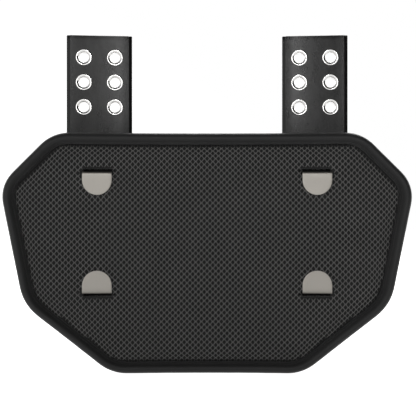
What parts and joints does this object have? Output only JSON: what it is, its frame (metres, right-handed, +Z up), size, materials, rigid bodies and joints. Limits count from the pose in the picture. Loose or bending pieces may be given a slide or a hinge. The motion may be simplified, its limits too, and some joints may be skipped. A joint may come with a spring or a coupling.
{
  "type": "shoulder pad back plate",
  "caption": "Bowed lower-back plate with a mesh-faced pad in a padded rim, held by sprung D-shaped tabs, and stiff bolt-on straps with eyelets.",
  "frame": {"origin": "middle of the object's box", "axes": "+X across the plate to the right as seen from the body side, +Y outwards, away from the wearer, +Z up along the straps"},
  "size_m": [0.3098, 0.0384, 0.262],
  "materials": {
    "shell_plastic": "moulded, fine texture",
    "foam": "closed-cell foam",
    "face_mesh": "open diamond knit",
    "lining": "plain knit",
    "edge_binding": "smooth stretch binding",
    "strap": "coated, creased edges",
    "eyelet_nickel": "polished nickel",
    "clip_steel": "satin nickel plate",
    "rivet_steel": "plated"
  },
  "bodies": {
    "plate": {"edge_roll": "edge_binding", "foam_core": "foam", "left_strap_anchor": "strap", "lower_left_clip": "clip_steel", "lower_left_rivet": "rivet_steel", "lower_left_rivet_washer": "rivet_steel", "lower_right_clip": "clip_steel", "lower_right_rivet": "rivet_steel", "lower_right_rivet_washer": "rivet_steel", "mesh_face": "face_mesh", "pad_lining": "lining", "right_strap_anchor": "strap", "shell": "shell_plastic", "upper_left_clip": "clip_steel", "upper_left_rivet": "rivet_steel", "upper_left_rivet_washer": "rivet_steel", "upper_right_clip": "clip_steel", "upper_right_rivet": "rivet_steel", "upper_right_rivet_washer": "rivet_steel"},
    "left_strap_body": {"left_eyelet_1": "eyelet_nickel", "left_eyelet_2": "eyelet_nickel", "left_eyelet_3": "eyelet_nickel", "left_eyelet_4": "eyelet_nickel", "left_eyelet_5": "eyelet_nickel", "left_eyelet_6": "eyelet_nickel", "left_eyelet_washer_1": "eyelet_nickel", "left_eyelet_washer_2": "eyelet_nickel", "left_eyelet_washer_3": "eyelet_nickel", "left_eyelet_washer_4": "eyelet_nickel", "left_eyelet_washer_5": "eyelet_nickel", "left_eyelet_washer_6": "eyelet_nickel", "left_strap": "strap"},
    "right_strap_body": {"right_eyelet_1": "eyelet_nickel", "right_eyelet_2": "eyelet_nickel", "right_eyelet_3": "eyelet_nickel", "right_eyelet_4": "eyelet_nickel", "right_eyelet_5": "eyelet_nickel", "right_eyelet_6": "eyelet_nickel", "right_eyelet_washer_1": "eyelet_nickel", "right_eyelet_washer_2": "eyelet_nickel", "right_eyelet_washer_3": "eyelet_nickel", "right_eyelet_washer_4": "eyelet_nickel", "right_eyelet_washer_5": "eyelet_nickel", "right_eyelet_washer_6": "eyelet_nickel", "right_strap": "strap"},
    "upper_left_tab": {"upper_left_tongue": "clip_steel"},
    "lower_left_tab": {"lower_left_tongue": "clip_steel"},
    "upper_right_tab": {"upper_right_tongue": "clip_steel"},
    "lower_right_tab": {"lower_right_tongue": "clip_steel"}
  },
  "joints": [
    {"name": "left_strap_flex", "type": "hinge", "parent": "plate", "child": "left_strap_body", "pos_m": [-0.08384, 0.00779, 0.0574], "axis": [0.9951, 0.0989, 0], "range_deg": [-60, 60], "stiffness_Nm_per_rad": 0.25},
    {"name": "right_strap_flex", "type": "hinge", "parent": "plate", "child": "right_strap_body", "pos_m": [0.08384, 0.00779, 0.0574], "axis": [0.9951, -0.0989, 0], "range_deg": [-60, 60], "stiffness_Nm_per_rad": 0.25},
    {"name": "upper_left_tab_spring", "type": "hinge", "parent": "plate", "child": "upper_left_tab", "pos_m": [-0.08404, -0.00835, 0.0236], "axis": [-0.9951, -0.0989, 0], "range_deg": [0, 15], "stiffness_Nm_per_rad": 1.2},
    {"name": "lower_left_tab_spring", "type": "hinge", "parent": "plate", "child": "lower_left_tab", "pos_m": [-0.08404, -0.00835, -0.0684], "axis": [0.9951, 0.0989, 0], "range_deg": [0, 15], "stiffness_Nm_per_rad": 1.2},
    {"name": "upper_right_tab_spring", "type": "hinge", "parent": "plate", "child": "upper_right_tab", "pos_m": [0.08404, -0.00835, 0.0236], "axis": [-0.9951, 0.0989, 0], "range_deg": [0, 15], "stiffness_Nm_per_rad": 1.2},
    {"name": "lower_right_tab_spring", "type": "hinge", "parent": "plate", "child": "lower_right_tab", "pos_m": [0.08404, -0.00835, -0.0684], "axis": [0.9951, -0.0989, 0], "range_deg": [0, 15], "stiffness_Nm_per_rad": 1.2}
  ]
}
